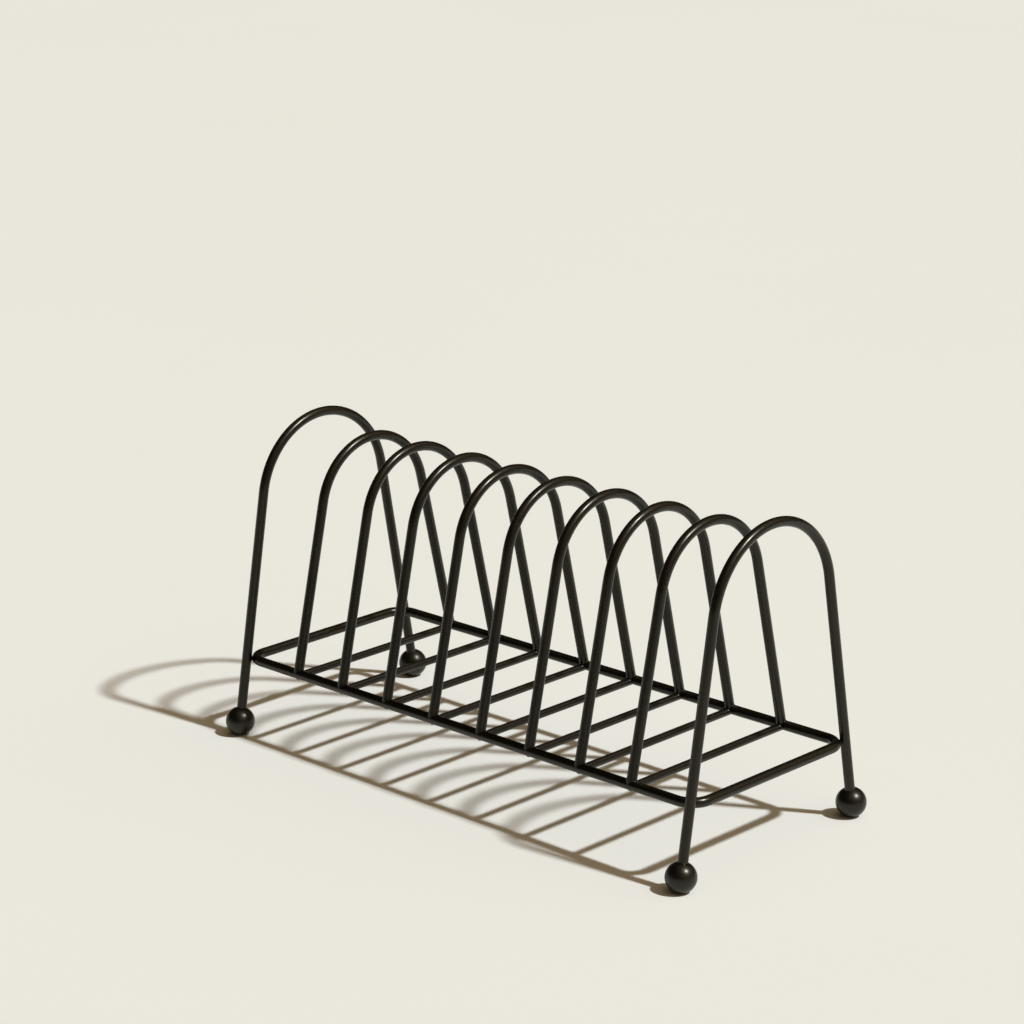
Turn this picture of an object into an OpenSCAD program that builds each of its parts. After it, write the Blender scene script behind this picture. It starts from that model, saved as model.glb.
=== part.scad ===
// Free-standing wire rack that holds flat rounds on edge in nine slots.
// Two end arches stand on ball feet and carry a level base loop. Eight
// inner arches stand on the loop, and a thin cross wire ties the two long
// rails of the loop at the foot of each of them.
// Frame: +X along the rack, +Y to the back, +Z up, origin on the floor
// under the middle. All diameters are taken over the coating.

/* [Wire] */
// Diameter of the wire of the base loop
loop_d = 5.5; // [4.5:0.25:6.5]
// Diameter of the wire of all arches
arch_d = 5.5; // [4.5:0.25:6]
// Diameter of the thin cross wires
cross_d = 4.25; // [3.25:0.25:4.75]
// Gap left between two wires at a weld
weld_gap = 0.05; // [0.03:0.01:0.1]

/* [Slots] */
// Distance between neighbouring inner arches
slot_pitch = 35.5; // [26:0.5:42]
// Distance from the outermost inner arch to the end arch
end_slot = 41; // [31:1:50]

/* [Base loop] */
// Distance between the two long rails of the loop, centre to centre
loop_w = 120; // [100:2:150]
// Centreline radius of the four corners of the loop
loop_r = 11; // [8:1:16]
// Height of the loop's centreline above the floor
loop_z = 43.5; // [34:0.5:60]

/* [End arches] */
// Height of the end arches over the floor
arch_h = 179; // [155:1:210]
// Inward lean of the legs of an end arch, in degrees
arch_lean = 10; // [6:0.5:12]
// Distance that an end arch stands in from the short rail, centre to centre
arch_inset = 1; // [0:0.5:2]

/* [Inner arches] */
// How far the inner arches stay below the end arches
divider_drop = 7; // [0:1:20]
// Inward lean of the legs of an inner arch, in degrees
divider_lean = 13; // [8:0.5:16]
// Gap between the foot of an inner arch and the cross wire under it
foot_gap = 0.3; // [0.2:0.1:1]

/* [Cross wires] */
// How far the underside of a cross wire lies below that of the rails
cross_lip = 0.5; // [0.3:0.1:2]
// Length of a cross wire that reaches past the centre of each rail
cross_over = 1; // [0.5:0.25:2]

/* [Ball feet] */
// Diameter of a ball foot
ball_d = 16.5; // [14:0.5:22]
// Diameter of the flat that a ball foot stands on
ball_flat_d = 4.5; // [3:0.5:6]
// Length of leg that goes into the ball past its centre
leg_seat = 2; // [0:0.5:3]
// Gap between the leg and the wall of its bore in the ball
bore_gap = 0.1; // [0.05:0.05:0.2]

/* [Hidden] */

// Satin black coating of the wires, and the slightly deeper black of the balls
wire_black = "#1b1917";
ball_black = "#141312";

// Facets along a bend, round a wire and round a ball
bend_fn = 96;
wire_fn = 32;
ball_fn = 72;

// Number of inner arches, and so of cross wires
divider_count = 8;
divider_span = (divider_count - 1) * slot_pitch;
arch_x = divider_span / 2 + end_slot;
loop_l = 2 * (arch_x + arch_inset);

// The leg of an end arch touches the rounded corner of the loop from outside.
// A leaning leg is an ellipse in the plane of the loop, a little wider in Y.
leg_reach = loop_d / 2 + arch_d / 2 / cos(arch_lean) + weld_gap;
leg_y = loop_w / 2 - loop_r + sqrt(pow(loop_r + leg_reach, 2) - pow(loop_r - arch_inset, 2));

// Radius of a ball, cut by its flat, gives the height of its centre
ball_z = sqrt(pow(ball_d / 2, 2) - pow(ball_flat_d / 2, 2));
ball_y = leg_y + (loop_z - ball_z) * tan(arch_lean);
// Height over the floor at which the leg's centreline ends inside the ball
leg_end_z = ball_z - leg_seat * cos(arch_lean);

// Centreline of the cross wires, and the height at which the legs of the
// inner arches end, just above them
cross_z = loop_z - loop_d / 2 - cross_lip + cross_d / 2;
cross_l = loop_w + 2 * cross_over;
divider_h = arch_h - divider_drop;
divider_end_z = cross_z + cross_d / 2 + foot_gap;

function divider_x(i) = (i - (divider_count + 1) / 2) * slot_pitch;

// Centreline radius of the round top of an arch whose legs pass the point
// (foot_y, foot_z), lean inwards by lean and meet the bend smoothly
function top_radius(foot_y, foot_z, top_z, lean) =
    (foot_y * cos(lean) - (top_z - foot_z) * sin(lean)) / (1 - sin(lean));

// Half of a bent wire, drawn flat: a quarter bend cut off at the middle of the
// arch, and the straight leg that leaves the bend's other end
module half_arch(bend_r, lean, leg_l) {
    intersection() {
        rotate([0, 0, lean])
            rotate_extrude(angle = 90, $fn = bend_fn)
                translate([bend_r, 0])
                    circle(d = arch_d, $fn = wire_fn);
        translate([0, 0, -arch_d])
            cube([2 * bend_r, 2 * bend_r, 2 * arch_d]);
    }
    rotate([0, 0, lean])
        translate([bend_r, 0, 0])
            rotate([90, 0, 0])
                cylinder(d = arch_d, h = leg_l, $fn = wire_fn);
}

// One bent wire in the YZ plane: two leaning legs and a round top
module arch_wire(foot_y, foot_z, height, lean, end_z) {
    top_z = height - arch_d / 2;
    bend_r = top_radius(foot_y, foot_z, top_z, lean);
    centre_z = top_z - bend_r;
    leg_l = (centre_z + bend_r * sin(lean) - end_z) / cos(lean);
    translate([0, 0, centre_z])
        rotate([90, 0, 90])
            for (side = [0, 1])
                mirror([side, 0, 0])
                    half_arch(bend_r, lean, leg_l);
}

// The two long rails as straight bars, used to cope what is welded to them
module rail_bars(gap) {
    for (side = [-1, 1])
        translate([0, side * loop_w / 2, loop_z])
            rotate([0, 90, 0])
                cylinder(d = loop_d + 2 * gap, h = 4 * arch_d, center = true, $fn = wire_fn);
}

// The closed base loop: two long rails, two short rails and four round corners
module rail_loop() {
    corner_x = loop_l / 2 - loop_r;
    corner_y = loop_w / 2 - loop_r;
    color(wire_black)
        translate([0, 0, loop_z]) {
            for (side = [-1, 1]) {
                translate([0, side * loop_w / 2, 0])
                    rotate([0, 90, 0])
                        cylinder(d = loop_d, h = 2 * corner_x, center = true, $fn = wire_fn);
                translate([side * loop_l / 2, 0, 0])
                    rotate([90, 0, 0])
                        cylinder(d = loop_d, h = 2 * corner_y, center = true, $fn = wire_fn);
            }
            for (sx = [0, 1])
                for (sy = [0, 1])
                    mirror([sx, 0, 0])
                        mirror([0, sy, 0])
                            translate([corner_x, corner_y, 0])
                                rotate_extrude(angle = 90, $fn = bend_fn)
                                    translate([loop_r, 0])
                                        circle(d = loop_d, $fn = wire_fn);
        }
}

// An end arch: its legs pass the loop's corners and end inside the ball feet
module end_arch(side) {
    color(wire_black)
        translate([side * arch_x, 0, 0])
            arch_wire(leg_y, loop_z, arch_h, arch_lean, leg_end_z);
}

// An inner arch: its legs stand on the long rails, coped to their round tops
module divider(i) {
    color(wire_black)
        translate([divider_x(i), 0, 0])
            difference() {
                arch_wire(loop_w / 2, loop_z, divider_h, divider_lean, divider_end_z);
                rail_bars(weld_gap);
            }
}

// A cross wire: it is let into the inner sides of both rails, a little low,
// so that a lip of it shows under each rail
module cross_wire(i) {
    color(wire_black)
        translate([divider_x(i), 0, 0])
            difference() {
                translate([0, 0, cross_z])
                    rotate([90, 0, 0])
                        cylinder(d = cross_d, h = cross_l, center = true, $fn = wire_fn);
                rail_bars(weld_gap);
            }
}

// A ball foot: a flat to stand on and a blind bore for the leaning leg
module foot(sx, sy) {
    color(ball_black)
        translate([sx * arch_x, 0, 0])
            mirror([0, sy < 0 ? 1 : 0, 0])
                difference() {
                    translate([0, ball_y, ball_z])
                        sphere(d = ball_d, $fn = ball_fn);
                    translate([0, ball_y, -ball_d])
                        cylinder(d = 2 * ball_d, h = ball_d, $fn = ball_fn);
                    translate([0, ball_y, ball_z])
                        rotate([arch_lean, 0, 0])
                            translate([0, 0, -leg_seat - bore_gap])
                                cylinder(d = arch_d + 2 * bore_gap, h = ball_d, $fn = wire_fn);
                }
}

rail_loop();
end_arch(-1);  // end_arch_left
end_arch(1);  // end_arch_right
divider(1);  // divider_1
divider(2);  // divider_2
divider(3);  // divider_3
divider(4);  // divider_4
divider(5);  // divider_5
divider(6);  // divider_6
divider(7);  // divider_7
divider(8);  // divider_8
cross_wire(1);  // cross_wire_1
cross_wire(2);  // cross_wire_2
cross_wire(3);  // cross_wire_3
cross_wire(4);  // cross_wire_4
cross_wire(5);  // cross_wire_5
cross_wire(6);  // cross_wire_6
cross_wire(7);  // cross_wire_7
cross_wire(8);  // cross_wire_8
foot(-1, -1);  // foot_front_left
foot(1, -1);  // foot_front_right
foot(-1, 1);  // foot_back_left
foot(1, 1);  // foot_back_right
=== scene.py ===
"""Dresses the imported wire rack: bent, welded and powder coated steel wire on ball feet.

Every piece is built in millimetres and written to its mesh in metres. What the box of a
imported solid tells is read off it, and the other sizes repeat those of the part. All
pieces ride on the one body of the rack.
"""

import logging
import math
from collections.abc import Iterator, Sequence
from dataclasses import dataclass, field
from enum import Enum
from typing import Any

import bmesh
import bpy
from mathutils import Matrix, Vector


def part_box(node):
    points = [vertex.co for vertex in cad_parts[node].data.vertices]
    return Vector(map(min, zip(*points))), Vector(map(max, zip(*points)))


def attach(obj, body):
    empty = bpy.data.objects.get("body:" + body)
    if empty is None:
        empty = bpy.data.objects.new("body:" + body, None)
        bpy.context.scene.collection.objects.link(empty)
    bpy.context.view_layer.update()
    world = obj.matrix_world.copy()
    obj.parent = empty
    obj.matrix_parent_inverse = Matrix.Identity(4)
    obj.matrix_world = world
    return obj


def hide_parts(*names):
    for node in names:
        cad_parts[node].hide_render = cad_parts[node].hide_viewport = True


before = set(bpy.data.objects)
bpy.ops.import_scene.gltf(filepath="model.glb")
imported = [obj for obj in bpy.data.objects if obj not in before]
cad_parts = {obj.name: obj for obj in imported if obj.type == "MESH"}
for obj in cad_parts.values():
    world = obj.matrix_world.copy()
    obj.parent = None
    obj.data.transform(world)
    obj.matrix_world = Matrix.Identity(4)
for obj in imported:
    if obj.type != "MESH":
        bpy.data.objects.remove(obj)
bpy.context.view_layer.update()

LOG = logging.getLogger("wire_rack")

MM = 0.001
# Decimals of a millimetre to which a diameter is read off a solid
DIGITS = 2
QUARTER_TURN = 0.5 * math.pi
# Faces that meet at more than this keep a sharp edge between them
SHARP_ANGLE = math.radians(50)

# Directions: along the rack, to its front, to its back and up
ALONG = Vector((1.0, 0.0, 0.0))
FORWARD = Vector((0.0, -1.0, 0.0))
BACKWARD = Vector((0.0, 1.0, 0.0))
UPRIGHT = Vector((0.0, 0.0, 1.0))
# Leaves only the level part of a vector that it is multiplied with
IN_PLAN = Vector((1.0, 1.0, 0.0))

# The curve of sRGB: a straight foot up to the knee, and a power curve above it
SRGB_KNEE, SRGB_FOOT = 0.04045, 12.92
SRGB_OFFSET, SRGB_SCALE, SRGB_POWER = 0.055, 1.055, 2.4

# A colour mix's sockets by number, as several of them have the same name
MIX_SHARE, MIX_FIRST, MIX_SECOND = 0, 6, 7
MIX_RESULT = 2

# The waves in a weld's edge: depth as a share of its width, number of waves round the
# weld, and how far they move from one seed to the next
WAVES = ((0.12, 3, 2.1), (0.07, 5, -1.3))

Ring = list[Vector]
Settings = dict[str | int, Any]
Links = dict[str | int, bpy.types.NodeSocket]


class Slot(Enum):
    """The record's material slots."""

    WIRE = "coated_wire"
    THIN_WIRE = "coated_thin_wire"
    BALL = "coated_ball"


class Side(Enum):
    """The long side of the rack that a part is on, as the sign of its y."""

    FRONT = -1
    BACK = 1


class End(Enum):
    """The end of the rack that a part is at, as the sign of its x."""

    LEFT = -1
    RIGHT = 1


# Finishes


def linear(hex_colour: str) -> tuple[float, float, float, float]:
    """Turns an sRGB hex colour to linear red, green, blue and alpha.

    Args:
        hex_colour: Six hex digits after a hash sign.

    Returns:
        The linear colour, with an alpha of 1.
    """
    red, green, blue = (
        c / SRGB_FOOT if c <= SRGB_KNEE else ((c + SRGB_OFFSET) / SRGB_SCALE) ** SRGB_POWER
        for c in (byte / 255 for byte in bytes.fromhex(hex_colour[1:])))
    return (red, green, blue, 1.0)


def add_node(tree: bpy.types.NodeTree, kind: str, settings: Settings | None = None,
             links: Links | None = None) -> bpy.types.Node:
    """Adds one node with its settings and links.

    Args:
        tree: The node tree that takes the node.
        kind: The node's type name.
        settings: Values by the name of a property, or by the name or number of an input.
        links: Output sockets by the name or number of the input that each one feeds.

    Returns:
        The new node.
    """
    node = tree.nodes.new(kind)
    for key, value in (settings or {}).items():
        if isinstance(key, str) and hasattr(node, key):
            setattr(node, key, value)
        else:
            node.inputs[key].default_value = value
    for key, output in (links or {}).items():
        tree.links.new(output, node.inputs[key])
    return node


@dataclass(frozen=True)
class PowderCoat:
    """Black polyester powder coat, baked on steel: a plastic skin with a satin sheen.

    The powder melts and levels in the oven, which leaves an even, very dark colour, soft
    edged highlights and a faint orange peel. Its carbon black leans to brown, which shows
    in the base colour and, as a faint cast, in what the coat mirrors. Handling leaves
    slightly shinier, paler places. A name that ends in mm is a length in millimetres: the
    width of a pattern's features, or the depth of its relief. The core and the edge of a
    nib are radii, as shares of the nibs' spacing.
    """

    name: str
    slot: Slot
    colour: str
    rubbed_colour: str
    roughness: float
    roughness_swing: float
    peel_mm: float
    peel_depth_mm: float
    peel_detail: float = 1.5
    peel_roughness: float = 0.4
    peel_low: float = 0.3
    peel_high: float = 0.7
    grain_mm: float = 0.9
    grain_depth_mm: float = 0.004
    grain_detail: float = 2.0
    grain_roughness: float = 0.6
    cloud_mm: float = 24.0
    cloud_detail: float = 3.0
    cloud_roughness: float = 0.55
    rubbed_from: float = 0.45
    rubbed_full: float = 0.75
    rubbed_shine: float = 1.5
    nib_spacing_mm: float = 2.6
    nib_core: float = 0.06
    nib_edge: float = 0.13
    nib_rise: float = 2.0
    ior: float = 1.44
    cast: str = "#FFF8EA"

    def material(self) -> bpy.types.Material:
        """Builds the node material of this coat.

        Returns:
            The new material.
        """
        coat = bpy.data.materials.new(self.name)
        coat.use_nodes = True
        tree = coat.node_tree
        tree.nodes.clear()
        place = add_node(tree, "ShaderNodeTexCoord").outputs["Object"]

        # Slow clouds: where they are thick, hands have rubbed the coat paler
        clouds = add_node(tree, "ShaderNodeTexNoise",
                          {"Scale": 1 / (self.cloud_mm * MM), "Detail": self.cloud_detail,
                           "Roughness": self.cloud_roughness}, {"Vector": place})
        rubbed = add_node(tree, "ShaderNodeMapRange",
                          {"From Min": self.rubbed_from, "From Max": self.rubbed_full},
                          {"Value": clouds.outputs[0]})
        tint = add_node(tree, "ShaderNodeMix",
                        {"data_type": "RGBA", MIX_FIRST: linear(self.colour),
                         MIX_SECOND: linear(self.rubbed_colour)},
                        {MIX_SHARE: rubbed.outputs[0]})

        # Nibs are specks of powder and dust that stand in the skin. Real ones are 0.1 to
        # 0.3 mm across, so they are drawn about twice as wide to show
        nibs = add_node(tree, "ShaderNodeTexVoronoi",
                        {"Scale": 1 / (self.nib_spacing_mm * MM), "Randomness": 1.0},
                        {"Vector": place})
        nib = add_node(tree, "ShaderNodeMapRange",
                       {"From Min": self.nib_core, "From Max": self.nib_edge,
                        "To Min": 1.0, "To Max": 0.0},
                       {"Value": nibs.outputs["Distance"]})
        # The real peel is one to two millimetres wide, and is drawn a little wider to show
        peel = add_node(tree, "ShaderNodeTexNoise",
                        {"Scale": 1 / (self.peel_mm * MM), "Detail": self.peel_detail,
                         "Roughness": self.peel_roughness}, {"Vector": place})
        # The real grain is about 0.1 mm, so it is drawn coarser to show at all
        grain = add_node(tree, "ShaderNodeTexNoise",
                         {"Scale": 1 / (self.grain_mm * MM), "Detail": self.grain_detail,
                          "Roughness": self.grain_roughness}, {"Vector": place})

        # The sheen follows the peel, and a rubbed place shines more
        sheen = add_node(tree, "ShaderNodeMapRange",
                         {"From Min": self.peel_low, "From Max": self.peel_high,
                          "To Min": self.roughness - self.roughness_swing,
                          "To Max": self.roughness + self.roughness_swing},
                         {"Value": peel.outputs[0]})
        worn = add_node(tree, "ShaderNodeMath",
                        {"operation": "MULTIPLY_ADD",
                         1: -self.rubbed_shine * self.roughness_swing},
                        {0: rubbed.outputs[0], 2: sheen.outputs[0]})

        # The three reliefs lie on each other
        reliefs = ((peel, self.peel_depth_mm), (grain, self.grain_depth_mm),
                   (nib, self.nib_rise * self.grain_depth_mm))
        below: Links = {}
        for pattern, depth in reliefs:
            skin = add_node(tree, "ShaderNodeBump", {"Strength": 1.0, "Distance": depth * MM},
                            {"Height": pattern.outputs[0], **below})
            below = {"Normal": skin.outputs[0]}
        shader = add_node(tree, "ShaderNodeBsdfPrincipled",
                          {"IOR": self.ior, "Metallic": 0.0,
                           "Specular Tint": linear(self.cast)},
                          {"Base Color": tint.outputs[MIX_RESULT],
                           "Roughness": worn.outputs[0], **below})
        add_node(tree, "ShaderNodeOutputMaterial", links={"Surface": shader.outputs[0]})
        return coat


@dataclass(frozen=True)
class StudioPaint:
    """Matt emulsion paint, rolled on the studio floor: off-white with no shine."""

    name: str = "matt_off_white_paint"
    colour: str = "#ECEDEB"
    shade: str = "#EAEBE7"
    roughness: float = 0.9
    shine: float = 0.2
    cloud_mm: float = 420.0
    stipple_mm: float = 3.0
    stipple_depth_mm: float = 0.02
    detail: float = 2.0

    def material(self) -> bpy.types.Material:
        """Builds the node material of the floor.

        Returns:
            The new material.
        """
        paint = bpy.data.materials.new(self.name)
        paint.use_nodes = True
        tree = paint.node_tree
        tree.nodes.clear()
        place = add_node(tree, "ShaderNodeTexCoord").outputs["Object"]
        clouds, stipple = (
            add_node(tree, "ShaderNodeTexNoise",
                     {"Scale": 1 / (width * MM), "Detail": self.detail}, {"Vector": place})
            for width in (self.cloud_mm, self.stipple_mm))
        tint = add_node(tree, "ShaderNodeMix",
                        {"data_type": "RGBA", MIX_FIRST: linear(self.colour),
                         MIX_SECOND: linear(self.shade)},
                        {MIX_SHARE: clouds.outputs[0]})
        skin = add_node(tree, "ShaderNodeBump",
                        {"Strength": 1.0, "Distance": self.stipple_depth_mm * MM},
                        {"Height": stipple.outputs[0]})
        shader = add_node(tree, "ShaderNodeBsdfPrincipled",
                          {"Roughness": self.roughness, "Specular IOR Level": self.shine},
                          {"Base Color": tint.outputs[MIX_RESULT],
                           "Normal": skin.outputs[0]})
        add_node(tree, "ShaderNodeOutputMaterial", links={"Surface": shader.outputs[0]})
        return paint


WIRE_COAT = PowderCoat(
    name="satin_black_powder_coat", slot=Slot.WIRE,
    colour="#0A0905", rubbed_colour="#12100A",
    roughness=0.29, roughness_swing=0.03, peel_mm=2.4, peel_depth_mm=0.035)
THIN_WIRE_COAT = PowderCoat(
    name="satin_black_powder_coat_thin_wire", slot=Slot.THIN_WIRE,
    colour="#0B0A06", rubbed_colour="#13110C",
    roughness=0.315, roughness_swing=0.03, peel_mm=2.0, peel_depth_mm=0.03)
BALL_COAT = PowderCoat(
    name="satin_black_powder_coat_ball", slot=Slot.BALL,
    colour="#060504", rubbed_colour="#0C0B09",
    roughness=0.34, roughness_swing=0.025, peel_mm=3.0, peel_depth_mm=0.04, ior=1.47)


# Mesh work


def span(node: str) -> tuple[Vector, Vector]:
    """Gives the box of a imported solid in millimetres.

    Args:
        node: The name of the solid.

    Returns:
        Its lowest and its highest corner.
    """
    low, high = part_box(node)
    return low / MM, high / MM


def parts(length: float, step: float) -> int:
    """Gives the number of equal parts, two or more, that bring a length nearest to a step."""
    return max(2, round(length / step))


def curve(start: Vector, pull: Vector, end: Vector, steps: int) -> list[Vector]:
    """Rounds a corner from one point to another with a quadratic curve.

    Args:
        start: The first point.
        pull: The corner that the curve leans towards.
        end: The last point.
        steps: The number of spaces between the points of the curve.

    Returns:
        The points, both ends among them.
    """
    shares = [i / steps for i in range(steps + 1)]
    return [start * (1 - t) ** 2 + pull * 2 * t * (1 - t) + end * t ** 2 for t in shares]


def turn(sides: int) -> Iterator[tuple[float, float, float]]:
    """Walks once round a circle in equal steps.

    Args:
        sides: The number of steps.

    Yields:
        The angle in radians, its cosine and its sine.
    """
    for k in range(sides):
        angle = math.tau * k / sides
        yield angle, math.cos(angle), math.sin(angle)


def wavy(base: float, angle: float, seed: float) -> float:
    """Varies the width of a weld's edge round it, the same way in each run.

    Args:
        base: The width in millimetres.
        angle: The place round the weld in radians.
        seed: A number that makes one weld differ from the next.

    Returns:
        The width at that place.
    """
    return base * (1 + sum(depth * math.sin(count * angle + drift * seed)
                           for depth, count, drift in WAVES))


@dataclass(frozen=True)
class Stop:
    """One stop on a wire's centreline: where, which way, and how fully it is bent there."""

    place: Vector
    heading: Vector
    bend: float = 0.0


def bent_ring(stop: Stop, flat_side: Vector, radius: float, sides: int,
              squeeze: float = 0.02) -> Ring:
    """Draws the section of a wire that was bent in one plane.

    A bender's roll squeezes the wire, so the section is a little thinner in the plane of
    the bend than across it.

    Args:
        stop: The stop on the centreline.
        flat_side: The unit vector across the plane of the bend.
        radius: The wire's radius in millimetres.
        sides: The number of points.
        squeeze: The share by which a full bend thins the wire in its plane.

    Returns:
        The points of the section.
    """
    outward = stop.heading.cross(flat_side)
    thin = radius * (1 - squeeze * stop.bend)
    return [stop.place + flat_side * radius * c + outward * thin * s
            for _, c, s in turn(sides)]


class Piece:
    """One piece in the making: closed skins over rings of points, in millimetres."""

    def __init__(self, name: str) -> None:
        """Starts an empty piece of that name."""
        self.name = name
        self.mesh = bmesh.new()

    def skin(self, rings: Sequence[Ring], joined: bool = False) -> None:
        """Adds one closed skin over a row of rings with the same number of points.

        Args:
            rings: The rings in their order.
            joined: Whether the last ring meets the first one. If not, both ends are capped.
        """
        rows = [[self.mesh.verts.new(p) for p in ring] for ring in rings]
        count = len(rows[0])
        pairs = list(zip(rows, rows[1:])) + ([(rows[-1], rows[0])] if joined else [])
        for near, far in pairs:
            for k in range(count):
                after = (k + 1) % count
                self.mesh.faces.new((near[k], near[after], far[after], far[k]))
        if joined:
            return
        for row in (rows[0], rows[-1]):
            middle = self.mesh.verts.new(sum((v.co for v in row), Vector()) / count)
            for k in range(count):
                self.mesh.faces.new((row[k], row[(k + 1) % count], middle))

    def finish(self, material: bpy.types.Material,
               node: str) -> bpy.types.Object:
        """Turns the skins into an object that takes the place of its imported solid.

        Args:
            material: That finish as a material.
            node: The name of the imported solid.

        Returns:
            The new object.
        """
        bmesh.ops.recalc_face_normals(self.mesh, faces=self.mesh.faces)
        bmesh.ops.scale(self.mesh, vec=(MM, MM, MM), verts=self.mesh.verts)
        data = bpy.data.meshes.new(self.name)
        self.mesh.to_mesh(data)
        self.mesh.free()
        data.shade_smooth()
        data.set_sharp_from_angle(angle=SHARP_ANGLE)
        data.materials.append(material)
        piece = bpy.data.objects.new(self.name, data)
        bpy.context.scene.collection.objects.link(piece)
        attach(piece, "root")
        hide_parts(node)
        return piece


# The rack's pieces. All their lengths are in millimetres


@dataclass
class BaseLoop:
    """The level loop: one wire bent to a rectangle with round corners and butt welded.

    The weld lies at the middle of the left end, ground to a low swell.
    """

    corner_r: float = 11.0
    sides: int = 40
    step: float = 5.0
    corner_steps: int = 18
    ease_steps: int = 3
    seam_half: float = 2.0
    seam_rise: float = 0.1
    seam_steps: int = 4
    seam_room: float = 4.0
    node: str = "rail_loop"
    wire_d: float = field(init=False)
    half_x: float = field(init=False)
    half_y: float = field(init=False)
    height: float = field(init=False)

    def __post_init__(self) -> None:
        """Reads the loop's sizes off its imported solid."""
        low, high = span(self.node)
        self.wire_d = round(high.z - low.z, DIGITS)
        self.half_x = (high.x - low.x - self.wire_d) / 2
        self.half_y = (high.y - low.y - self.wire_d) / 2
        self.height = (high.z + low.z) / 2

    @property
    def radius(self) -> float:
        """Gives the wire's radius."""
        return self.wire_d / 2

    def corner_centre(self, end: End, side: Side) -> Vector:
        """Gives the centre that a corner is bent round."""
        return Vector((end.value * (self.half_x - self.corner_r),
                       side.value * (self.half_y - self.corner_r), self.height))

    def corner_stop(self, centre: Vector, angle: float, bend: float = 0.0) -> Stop:
        """Gives the stop at an angle round the centre of a corner."""
        arm = Vector((math.cos(angle), math.sin(angle), 0.0))
        return Stop(centre + arm * self.corner_r, Vector((-arm.y, arm.x, 0.0)), bend)

    def straight(self, start: Stop, run: float) -> list[Stop]:
        """Walks along a straight stretch of the loop.

        Args:
            start: The stop at its start.
            run: Its length.

        Returns:
            The stops, from the start to the last one before the end.
        """
        count = parts(run, self.step)
        return [Stop(start.place + start.heading * run * i / count, start.heading)
                for i in range(count)]

    def centreline(self) -> list[Stop]:
        """Walks once round the loop, from the middle of the left end.

        Returns:
            The stops, with no stop twice.
        """
        run_x, run_y = self.half_x - self.corner_r, self.half_y - self.corner_r
        # Each corner, the quarter turn that it starts at, and the run that leads to it
        corners = ((End.LEFT, Side.FRONT, 2, run_y), (End.RIGHT, Side.FRONT, 3, 2 * run_x),
                   (End.RIGHT, Side.BACK, 0, 2 * run_y), (End.LEFT, Side.BACK, 1, 2 * run_x))
        stops: list[Stop] = []
        here = Stop(Vector((-self.half_x, 0.0, self.height)), FORWARD)
        for end, side, quarter, run in corners:
            stops += self.straight(here, run)
            centre, start = self.corner_centre(end, side), quarter * QUARTER_TURN
            for i in range(self.corner_steps):
                ease = min(i, self.corner_steps - i) / self.ease_steps
                angle = start + QUARTER_TURN * i / self.corner_steps
                stops.append(self.corner_stop(centre, angle, min(1.0, ease)))
            here = self.corner_stop(centre, start + QUARTER_TURN)
        return stops + self.straight(here, run_y)

    def seam_rings(self) -> list[Ring]:
        """Draws the butt weld.

        Returns:
            The rings, from the back of the weld to its front.
        """
        rings = []
        for i in range(-self.seam_steps, self.seam_steps + 1):
            share = i / self.seam_steps
            rise = self.seam_rise * math.cos(QUARTER_TURN * share) ** 2
            place = Vector((-self.half_x, -share * self.seam_half, self.height))
            rings.append(bent_ring(Stop(place, FORWARD), UPRIGHT, self.radius + rise,
                                   self.sides))
        return rings

    def build(self, material: bpy.types.Material) -> bpy.types.Object:
        """Builds and dresses the loop.

        Args:
            material: The wire's coat.

        Returns:
            The new object.
        """
        clear = [s for s in self.centreline()
                 if s.place.x > -self.half_x + self.radius or abs(s.place.y) > self.seam_room]
        rings = [bent_ring(s, UPRIGHT, self.radius, self.sides) for s in clear]
        piece = Piece("base_loop")
        piece.skin(self.seam_rings() + rings, joined=True)
        return piece.finish(material, self.node)


@dataclass
class ArchShape:
    """The centreline of an arch: two leaning legs and a round top, in one YZ plane.

    The legs pass through a point that is given by its distance from the middle and its
    height. The lean is in radians.
    """

    x: float
    pass_y: float
    pass_z: float
    top: float
    lean: float
    wire_r: float
    step: float = 6.0
    top_steps: int = 60
    ease: float = 5.0
    bend_r: float = field(init=False)
    centre_z: float = field(init=False)

    def __post_init__(self) -> None:
        """Finds the bend that meets both legs smoothly."""
        slope, level = math.sin(self.lean), math.cos(self.lean)
        crown = self.top - self.wire_r
        self.bend_r = (self.pass_y * level - (crown - self.pass_z) * slope) / (1 - slope)
        self.centre_z = crown - self.bend_r

    def leg_place(self, side: Side, height: float) -> Vector:
        """Gives the point of a leg's centreline at a height."""
        y = self.pass_y - (height - self.pass_z) * math.tan(self.lean)
        return Vector((self.x, side.value * y, height))

    def leg_up(self, side: Side) -> Vector:
        """Gives the unit vector up a leg."""
        return Vector((0.0, -side.value * math.sin(self.lean), math.cos(self.lean)))

    def stops(self, low: float) -> list[Stop]:
        """Walks up the back leg, over the top and down the front leg.

        Args:
            low: The height of the first and the last stop.

        Returns:
            The stops.
        """
        join_z = self.centre_z + self.bend_r * math.sin(self.lean)
        count = parts(join_z - low, self.step)
        heights = [low + (join_z - low) * i / count for i in range(count)]
        rise = [Stop(self.leg_place(Side.BACK, z), self.leg_up(Side.BACK)) for z in heights]
        sweep = math.pi - 2 * self.lean
        bends = []
        for i in range(self.top_steps + 1):
            angle = self.lean + sweep * i / self.top_steps
            reach = self.bend_r * min(angle - self.lean, math.pi - self.lean - angle)
            arm = Vector((0.0, math.cos(angle), math.sin(angle)))
            bends.append(Stop(Vector((self.x, 0.0, self.centre_z)) + arm * self.bend_r,
                              Vector((0.0, -arm.z, arm.y)), min(1.0, reach / self.ease)))
        fall = [Stop(self.leg_place(Side.FRONT, z), -self.leg_up(Side.FRONT))
                for z in reversed(heights)]
        return rise + bends + fall


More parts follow.
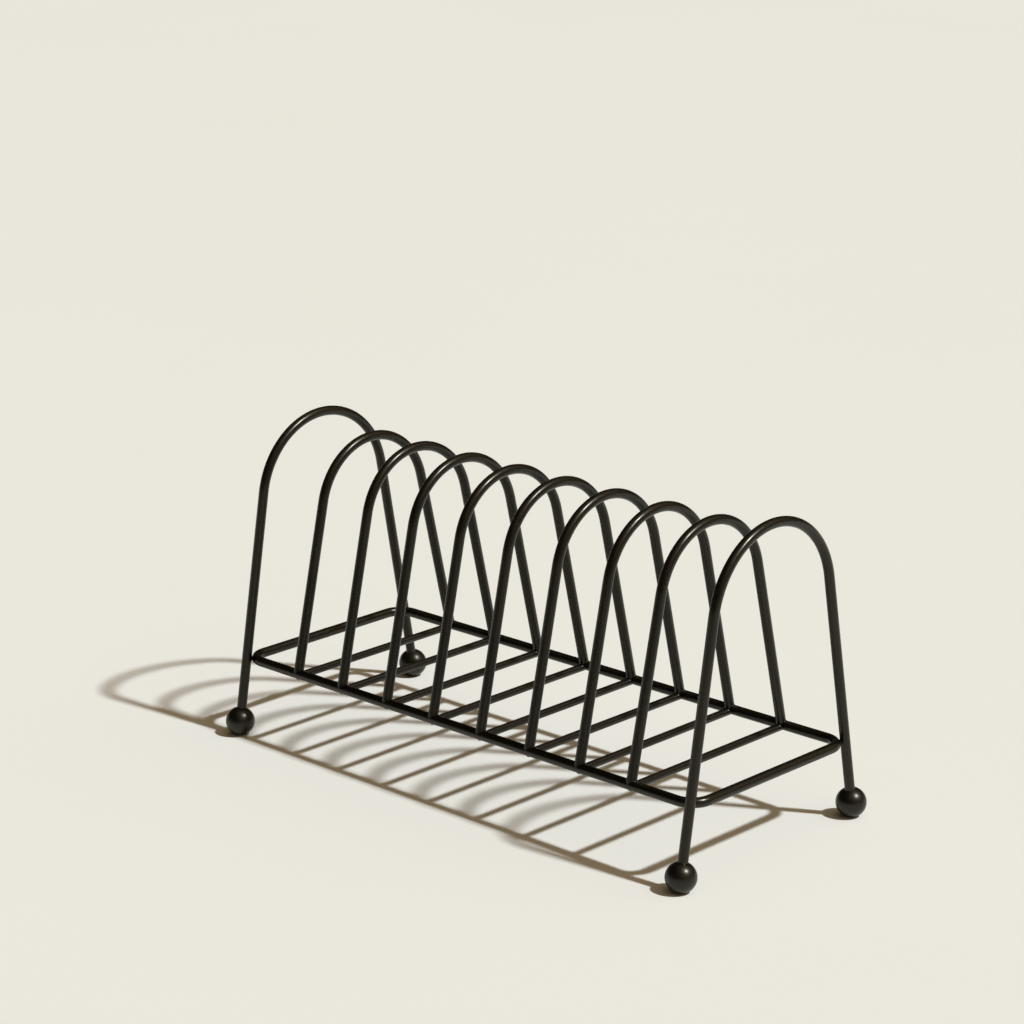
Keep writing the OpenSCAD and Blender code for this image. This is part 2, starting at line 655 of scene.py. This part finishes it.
@dataclass
class InnerArch:
    """An inner arch: its legs stand on the long rails, with a small weld round each foot."""

    number: int
    loop: BaseLoop
    lean: float = math.radians(13)
    sides: int = 40
    weld: float = 0.6
    weld_steps: int = 5
    clear: float = 1.2
    sunk: float = 0.7
    inside: float = 0.9
    seed_step: float = 3.7
    node: str = field(init=False)
    wire_r: float = field(init=False)
    shape: ArchShape = field(init=False)

    def __post_init__(self) -> None:
        """Reads the arch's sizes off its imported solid."""
        self.node = f"divider_{self.number}"
        low, high = span(self.node)
        self.wire_r = round(high.x - low.x, DIGITS) / 2
        self.shape = ArchShape((high.x + low.x) / 2, self.loop.half_y, self.loop.height,
                               high.z, self.lean, self.wire_r)

    def foot_rings(self, side: Side) -> list[Ring]:
        """Draws a foot from the leg down over its weld onto the rail, and a little into it.

        Args:
            side: The rail that the foot stands on.

        Returns:
            The rings, from the leg to the inside of the rail.
        """
        rail = self.loop.radius
        base = self.shape.leg_place(side, self.loop.height)
        up = self.shape.leg_up(side)
        across = (up if side is Side.BACK else -up).cross(ALONG)
        rows = []
        for angle, c, s in turn(self.sides):
            width = wavy(self.weld, angle, self.number + self.seed_step * side.value)
            out = self.wire_r * s
            drop = math.sqrt(rail ** 2 - out ** 2)
            foot = ALONG * self.wire_r * c + across * out
            lean_over = math.asin(out / rail) + width / rail * s
            spread = ALONG * (self.wire_r + width) * c
            toe = across * rail * math.sin(lean_over) + up * rail * math.cos(lean_over)
            points = curve(foot + up * (drop + width), foot + up * drop, spread + toe,
                           self.weld_steps)
            points.append(spread * self.inside + toe * (1 - self.sunk / rail))
            rows.append([base + point for point in points])
        return [list(ring) for ring in zip(*rows)]

    def build(self, material: bpy.types.Material) -> bpy.types.Object:
        """Builds and dresses the arch.

        Args:
            material: The wire's coat.

        Returns:
            The new object.
        """
        reach = self.loop.radius + self.weld + self.clear
        low = self.loop.height + reach * math.cos(self.lean)
        body = [bent_ring(s, ALONG, self.wire_r, self.sides) for s in self.shape.stops(low)]
        piece = Piece(f"inner_arch_{self.number}")
        piece.skin(self.foot_rings(Side.BACK)[::-1] + body + self.foot_rings(Side.FRONT))
        return piece.finish(material, self.node)


@dataclass
class BallFoot:
    """A turned steel ball on the end of a leg: a bore for the leg and a flat to stand on."""

    end: End
    side: Side
    leg_r: float
    lean: float
    flat_r: float = 2.25
    flat_inner: float = 0.4
    edge: float = 0.55
    edge_steps: int = 5
    seat: float = 2.1
    bore_gap: float = 0.1
    bore_middle: float = 0.5
    collar: float = 0.15
    sides: int = 64
    rows: int = 44
    node: str = field(init=False)
    radius: float = field(init=False)
    centre: Vector = field(init=False)

    def __post_init__(self) -> None:
        """Reads the ball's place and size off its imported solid."""
        self.node = f"foot_{self.side.name.lower()}_{self.end.name.lower()}"
        low, high = span(self.node)
        self.radius = round(high.x - low.x, DIGITS) / 2
        self.centre = Vector(((high.x + low.x) / 2, (high.y + low.y) / 2,
                              math.sqrt(self.radius ** 2 - self.flat_r ** 2)))

    def axes(self, lean: float) -> tuple[Vector, Vector]:
        """Gives the unit vector up a line that leans by an angle, and one across it."""
        up = Vector((0.0, -self.side.value * math.sin(lean), math.cos(lean)))
        return up, up.cross(ALONG)

    def ring(self, lean: float, reach: float, rise: float) -> Ring:
        """Draws a circle round a leaning line through the ball's centre.

        Args:
            lean: The lean of the line.
            reach: The circle's radius.
            rise: Its distance along the line from the ball's centre.

        Returns:
            The points of the circle.
        """
        up, across = self.axes(lean)
        return [self.centre + up * rise + ALONG * reach * c + across * reach * s
                for _, c, s in turn(self.sides)]

    def build(self, material: bpy.types.Material) -> bpy.types.Object:
        """Builds and dresses the ball, from the end of its bore round to its flat.

        Args:
            material: The ball's coat.

        Returns:
            The new object.
        """
        bore = self.leg_r + self.bore_gap
        mouth = math.sqrt(self.radius ** 2 - self.leg_r ** 2)
        inside = [(bore, -self.seat), (bore, mouth * self.bore_middle), (bore, mouth)]
        first = math.asin((self.leg_r + self.collar) / self.radius)
        last = math.pi - math.asin((self.flat_r + self.edge) / self.radius)
        lip = curve(Vector((self.leg_r, mouth + self.collar)), Vector((self.leg_r, mouth)),
                    Vector((math.sin(first), math.cos(first))) * self.radius,
                    self.edge_steps)
        rings = [self.ring(self.lean, reach, rise) for reach, rise in inside]
        rings += [self.ring(self.lean, p.x, p.y) for p in lip]
        for i in range(1, self.rows + 1):
            share = i / self.rows
            angle = first + (last - first) * share
            rings.append(self.ring(self.lean * (1 - share), math.sin(angle) * self.radius,
                                   math.cos(angle) * self.radius))
        heel = Vector((math.sin(last), math.cos(last))) * self.radius
        floor = -self.centre.z
        worn = curve(heel, Vector((self.flat_r, floor)),
                     Vector((self.flat_r - self.edge, floor)), self.edge_steps)
        rings += [self.ring(0.0, p.x, p.y) for p in worn[1:]]
        rings.append(self.ring(0.0, self.flat_r * self.flat_inner, floor))
        piece = Piece(f"ball_{self.side.name.lower()}_{self.end.name.lower()}")
        piece.skin(rings)
        return piece.finish(material, self.node)


@dataclass
class EndArch:
    """An end arch: its legs are welded to the loop's corners and go on down to the balls."""

    end: End
    loop: BaseLoop
    lean: float = math.radians(10)
    seat: float = 2.0
    sides: int = 40
    weld: float = 1.7
    weld_sides: int = 32
    weld_steps: int = 4
    waist: float = 0.35
    sunk: float = 0.5
    seed_step: float = 5.0
    node: str = field(init=False)
    wire_r: float = field(init=False)
    balls: list[BallFoot] = field(init=False)
    shape: ArchShape = field(init=False)

    def __post_init__(self) -> None:
        """Reads the arch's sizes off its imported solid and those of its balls."""
        self.node = f"end_arch_{self.end.name.lower()}"
        low, high = span(self.node)
        self.wire_r = round(high.x - low.x, DIGITS) / 2
        self.balls = [BallFoot(self.end, side, self.wire_r, self.lean) for side in Side]
        ball = self.balls[0].centre
        self.shape = ArchShape((high.x + low.x) / 2, abs(ball.y), ball.z, high.z, self.lean,
                               self.wire_r)

    def on_leg(self, side: Side, point: Vector) -> tuple[Vector, Vector]:
        """Finds the place on a leg's surface that is nearest to a point.

        Args:
            side: The side of the rack that the leg is on.
            point: The point.

        Returns:
            The place, and the unit vector out of the leg there.
        """
        base, up = self.shape.leg_place(side, self.loop.height), self.shape.leg_up(side)
        foot = base + up * (point - base).dot(up)
        out = (point - foot).normalized()
        return foot + out * self.wire_r, out

    def on_corner(self, side: Side, point: Vector) -> tuple[Vector, Vector]:
        """Finds the place on the surface of the loop's corner that is nearest to a point.

        Args:
            side: The side of the rack that the corner is on.
            point: The point.

        Returns:
            The place, and the unit vector out of the loop there.
        """
        centre = self.loop.corner_centre(self.end, side)
        arm = (point - centre) * IN_PLAN
        line = centre + arm.normalized() * self.loop.corner_r
        out = (point - line).normalized()
        return line + out * self.loop.radius, out

    def weld_rings(self, side: Side) -> list[Ring]:
        """Draws the small weld between a leg and the corner of the loop that it touches.

        Args:
            side: The side of the rack.

        Returns:
            The rings, from inside the leg to inside the corner.
        """
        centre = self.loop.corner_centre(self.end, side)
        leg = self.shape.leg_place(side, self.loop.height)
        toward = (leg - centre).normalized()
        touch = centre + toward * (self.loop.corner_r + self.loop.radius)
        rise = self.shape.leg_up(side)
        rise = (rise - toward * rise.dot(toward)).normalized()
        beside = toward.cross(rise)
        rows = []
        for angle, c, s in turn(self.weld_sides):
            width = wavy(self.weld, angle, self.seed_step * self.end.value + side.value)
            edge = touch + (rise * c + beside * s) * width
            near, near_out = self.on_leg(side, edge)
            far, far_out = self.on_corner(side, edge)
            pull = (near + far) / 2 + (touch - edge) * self.waist
            rows.append([near - near_out * self.sunk, *curve(near, pull, far, self.weld_steps),
                         far - far_out * self.sunk])
        return [list(ring) for ring in zip(*rows)]

    def build(self, wire: bpy.types.Material,
              ball: bpy.types.Material) -> list[bpy.types.Object]:
        """Builds and dresses the arch, its two welds and its two balls.

        Args:
            wire: The wire's coat.
            ball: The balls' coat.

        Returns:
            The new objects.
        """
        low = self.balls[0].centre.z - self.seat * math.cos(self.lean)
        piece = Piece(f"end_arch_wire_{self.end.name.lower()}")
        piece.skin([bent_ring(s, ALONG, self.wire_r, self.sides)
                    for s in self.shape.stops(low)])
        for side in Side:
            piece.skin(self.weld_rings(side))
        arch = piece.finish(wire, self.node)
        return [arch] + [foot.build(ball) for foot in self.balls]


@dataclass
class CrossWire:
    """A thin cross wire: let into both long rails under an inner arch, and welded there.

    A weld runs over the top of the wire and fades out low on both its sides, above the
    least sine that its angles may have.
    """

    number: int
    loop: BaseLoop
    sides: int = 32
    step: float = 6.0
    end_round: float = 0.5
    end_steps: int = 4
    weld: float = 0.75
    weld_steps: int = 40
    toe_steps: int = 4
    root: float = 0.25
    root_share: float = 0.5
    least_sine: float = -0.97
    clear_sine: float = 0.06
    least_taper: float = 0.12
    taper_power: float = 0.35
    seed_step: float = 1.9
    node: str = field(init=False)
    radius: float = field(init=False)
    x: float = field(init=False)
    z: float = field(init=False)
    half: float = field(init=False)

    def __post_init__(self) -> None:
        """Reads the wire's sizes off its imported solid."""
        self.node = f"cross_wire_{self.number}"
        low, high = span(self.node)
        self.radius = round(high.x - low.x, DIGITS) / 2
        self.x = (high.x + low.x) / 2
        self.z = low.z + self.radius
        self.half = (high.y - low.y) / 2

    def rod_rings(self) -> list[Ring]:
        """Draws the wire, with its cut ends rounded by the coat.

        Returns:
            The rings, from the front end to the back end.
        """
        straight = self.half - self.end_round
        count = parts(2 * straight, self.step)
        profile = [(-straight + 2 * straight * i / count, self.radius)
                   for i in range(count + 1)]
        tip = []
        for i in range(1, self.end_steps + 1):
            angle = QUARTER_TURN * i / self.end_steps
            tip.append((straight + self.end_round * math.sin(angle),
                        self.radius - self.end_round * (1 - math.cos(angle))))
        profile = [(-y, r) for y, r in reversed(tip)] + profile + tip
        return [bent_ring(Stop(Vector((self.x, y, self.z)), BACKWARD), ALONG, r, self.sides)
                for y, r in profile]

    def weld_ring(self, side: Side, angle: float, taper: float) -> Ring:
        """Draws the section of the weld between the wire and the inner side of a rail.

        Args:
            side: The rail.
            angle: The place round the wire, with 0 at its right side.
            taper: The share of the full width at this place.

        Returns:
            The points of the section.
        """
        rail = self.loop.radius
        wire_out = Vector((math.cos(angle), 0.0, math.sin(angle)))
        height = self.z + self.radius * wire_out.z - self.loop.height
        inward = math.sqrt(max(0.0, rail ** 2 - height ** 2))
        rail_out = Vector((0.0, -side.value * inward, height)) / rail
        centre = Vector((self.x, side.value * self.loop.half_y, self.loop.height))
        meet = Vector((self.x + self.radius * wire_out.x, centre.y - side.value * inward,
                       centre.z + height))
        cosine = wire_out.dot(rail_out)
        width = taper * wavy(self.weld, angle, self.number + self.seed_step * side.value)
        along_wire = (rail_out - wire_out * cosine).normalized()
        along_rail = (wire_out - rail_out * cosine).normalized()
        low, high = meet + along_wire * width, meet + along_rail * width
        axis = Vector((self.x, low.y, self.z))
        low = axis + (low - axis).normalized() * self.radius
        line = Vector((high.x, centre.y, centre.z))
        high = line + (high - line).normalized() * rail
        depth = self.root + self.root_share * width
        return curve(low, meet, high, self.toe_steps) + [
            meet - (wire_out + rail_out).normalized() * depth]

    def weld_rings(self, side: Side) -> list[Ring]:
        """Draws the weld to one rail.

        Args:
            side: The rail.

        Returns:
            The rings, from low on the wire's right side over its top to low on its left.
        """
        rail_low = (self.loop.height - self.loop.radius - self.z) / self.radius
        start = math.asin(max(self.least_sine, rail_low + self.clear_sine))
        rings = []
        for i in range(self.weld_steps + 1):
            share = i / self.weld_steps
            taper = max(self.least_taper, math.sin(math.pi * share) ** self.taper_power)
            rings.append(self.weld_ring(side, start + (math.pi - 2 * start) * share, taper))
        return rings

    def build(self, material: bpy.types.Material) -> bpy.types.Object:
        """Builds and dresses the wire and its two welds.

        Args:
            material: The thin wire's coat.

        Returns:
            The new object.
        """
        piece = Piece(f"cross_rod_{self.number}")
        piece.skin(self.rod_rings())
        for side in Side:
            piece.skin(self.weld_rings(side))
        return piece.finish(material, self.node)


@dataclass
class WireRack:
    """The whole rack: the loop, the end arches that carry it, and what stands on it."""

    inner_count: int = 8

    def build(self) -> Iterator[bpy.types.Object]:
        """Builds the pieces one after another.

        Yields:
            Each new piece.
        """
        wire, thin, ball = (c.material() for c in (WIRE_COAT, THIN_WIRE_COAT, BALL_COAT))
        loop = BaseLoop()
        yield loop.build(wire)
        for end in End:
            yield from EndArch(end, loop).build(wire, ball)
        for number in range(1, self.inner_count + 1):
            yield InnerArch(number, loop).build(wire)
            yield CrossWire(number, loop).build(thin)


# The studio


@dataclass(frozen=True)
class Studio:
    """The plain floor, the soft light and the camera.

    The camera was worked out from the rack's own lines and balls. Lengths are in
    millimetres and angles in radians. The glow's limits are cosines of the angle to the
    key lamp, and the wall's are sines of the height over the horizon.
    """

    floor_half: float = 30000.0
    floor_parts: int = 4
    floor_drop: float = 0.02
    camera_place: tuple[float, float, float] = (1078.95, -1133.93, 608.28)
    camera_turn: float = 0.76766
    camera_dip: float = 0.28514
    camera_roll: float = -0.008
    focal_px: float = 3048.65
    frame_px: float = 1024.0
    sensor: float = 36.0
    clip_near: float = 10.0
    clip_far: float = 100000.0
    key_from: tuple[float, float, float] = (0.715, 0.235, 1.0)
    key_strength: float = 3.05
    key_spread: float = math.radians(3.0)
    key_colour: str = "#FAFEFF"
    glow_colour: str = "#FFE0B2"
    glow_strength: float = 0.57
    glow_from: float = 0.35
    glow_full: float = 1.0
    room_colour: str = "#FFDDB0"
    room_strength: float = 0.045
    wall_colour: str = "#F0E6D4"
    wall_strength: float = 0.15
    wall_full: float = 0.03
    wall_gone: float = 0.10

    @staticmethod
    def shade(hex_colour: str, strength: float) -> tuple[float, float, float, float]:
        """Gives a linear colour at a strength, for a light that needs no texture."""
        red, green, blue, _ = linear(hex_colour)
        return (red * strength, green * strength, blue * strength, 1.0)

    def build_floor(self) -> None:
        """Lays the pale floor, which is stage and no part of the rack."""
        sheet = bmesh.new()
        bmesh.ops.create_grid(sheet, x_segments=self.floor_parts, y_segments=self.floor_parts,
                              size=self.floor_half * MM)
        data = bpy.data.meshes.new("studio_floor")
        sheet.to_mesh(data)
        sheet.free()
        data.materials.append(StudioPaint().material())
        floor = bpy.data.objects.new("studio_floor", data)
        floor.location.z = -self.floor_drop * MM
        bpy.context.scene.collection.objects.link(floor)

    def build_lamp(self) -> None:
        """Hangs the key lamp, which throws soft edged shadows."""
        lamp = bpy.data.lights.new("key_lamp", "SUN")
        lamp.energy = self.key_strength
        lamp.angle = self.key_spread
        lamp.color = linear(self.key_colour)[:3]
        key = bpy.data.objects.new("key_lamp", lamp)
        key.rotation_euler = Vector(self.key_from).to_track_quat("Z", "Y").to_euler()
        key.location = Vector(self.key_from)
        bpy.context.scene.collection.objects.link(key)

    def build_room(self) -> None:
        """Lights the room: a warm glow round the lamp, a low pale wall, and dim elsewhere."""
        world = bpy.data.worlds.new("studio_room")
        world.use_nodes = True
        tree = world.node_tree
        tree.nodes.clear()
        heading = add_node(tree, "ShaderNodeTexCoord").outputs["Generated"]
        # The broad glow round the lamp gives the fill
        toward = add_node(tree, "ShaderNodeVectorMath",
                          {"operation": "DOT_PRODUCT", 1: Vector(self.key_from).normalized()},
                          {0: heading})
        glow = add_node(tree, "ShaderNodeMapRange",
                        {"interpolation_type": "SMOOTHSTEP",
                         "From Min": self.glow_from, "From Max": self.glow_full},
                        {"Value": toward.outputs["Value"]})
        room = add_node(tree, "ShaderNodeMix",
                        {"data_type": "RGBA",
                         MIX_FIRST: self.shade(self.room_colour, self.room_strength),
                         MIX_SECOND: self.shade(self.glow_colour, self.glow_strength)},
                        {MIX_SHARE: glow.outputs[0]})
        # The wall stands far behind the floor, all round
        height = add_node(tree, "ShaderNodeSeparateXYZ", links={"Vector": heading}).outputs["Z"]
        above = add_node(tree, "ShaderNodeMapRange",
                         {"interpolation_type": "SMOOTHSTEP",
                          "From Min": self.wall_full, "From Max": self.wall_gone},
                         {"Value": height})
        colour = add_node(tree, "ShaderNodeMix",
                          {"data_type": "RGBA",
                           MIX_FIRST: self.shade(self.wall_colour, self.wall_strength)},
                          {MIX_SHARE: above.outputs[0], MIX_SECOND: room.outputs[MIX_RESULT]})
        backdrop = add_node(tree, "ShaderNodeBackground",
                            links={"Color": colour.outputs[MIX_RESULT]})
        add_node(tree, "ShaderNodeOutputWorld", links={"Surface": backdrop.outputs[0]})
        bpy.context.scene.world = world

    def build_camera(self) -> None:
        """Sets the camera at the photograph's viewing angle, with no shift and no blur."""
        turn_c, turn_s = math.cos(self.camera_turn), math.sin(self.camera_turn)
        dip_c, dip_s = math.cos(self.camera_dip), math.sin(self.camera_dip)
        ahead = Vector((-turn_s * dip_c, turn_c * dip_c, -dip_s))
        level = Vector((turn_c, turn_s, 0.0))
        above = level.cross(ahead)
        roll_c, roll_s = math.cos(self.camera_roll), math.sin(self.camera_roll)
        right = level * roll_c + above * roll_s
        upward = above * roll_c - level * roll_s
        lens = bpy.data.cameras.new("photo_camera")
        lens.sensor_width = self.sensor
        lens.lens = self.focal_px / self.frame_px * self.sensor
        lens.clip_start, lens.clip_end = self.clip_near * MM, self.clip_far * MM
        camera = bpy.data.objects.new("photo_camera", lens)
        spin = Matrix((right, upward, -ahead)).transposed().to_4x4()
        camera.matrix_world = Matrix.Translation(Vector(self.camera_place) * MM) @ spin
        bpy.context.scene.collection.objects.link(camera)
        bpy.context.scene.camera = camera

    def build(self) -> None:
        """Sets up camera, floor and light, with the plain view transform."""
        self.build_camera()
        self.build_floor()
        self.build_lamp()
        self.build_room()
        bpy.context.scene.view_settings.view_transform = "Standard"


def main() -> None:
    """Builds the studio and the rack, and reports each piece."""
    logging.basicConfig(level=logging.INFO, format="%(name)s: %(message)s")
    Studio().build()
    for piece in WireRack().build():
        LOG.info("%s: %d points, %s", piece.name, len(piece.data.vertices),
                 piece.data.materials[0].name)


if __name__ == "__main__":
    main()
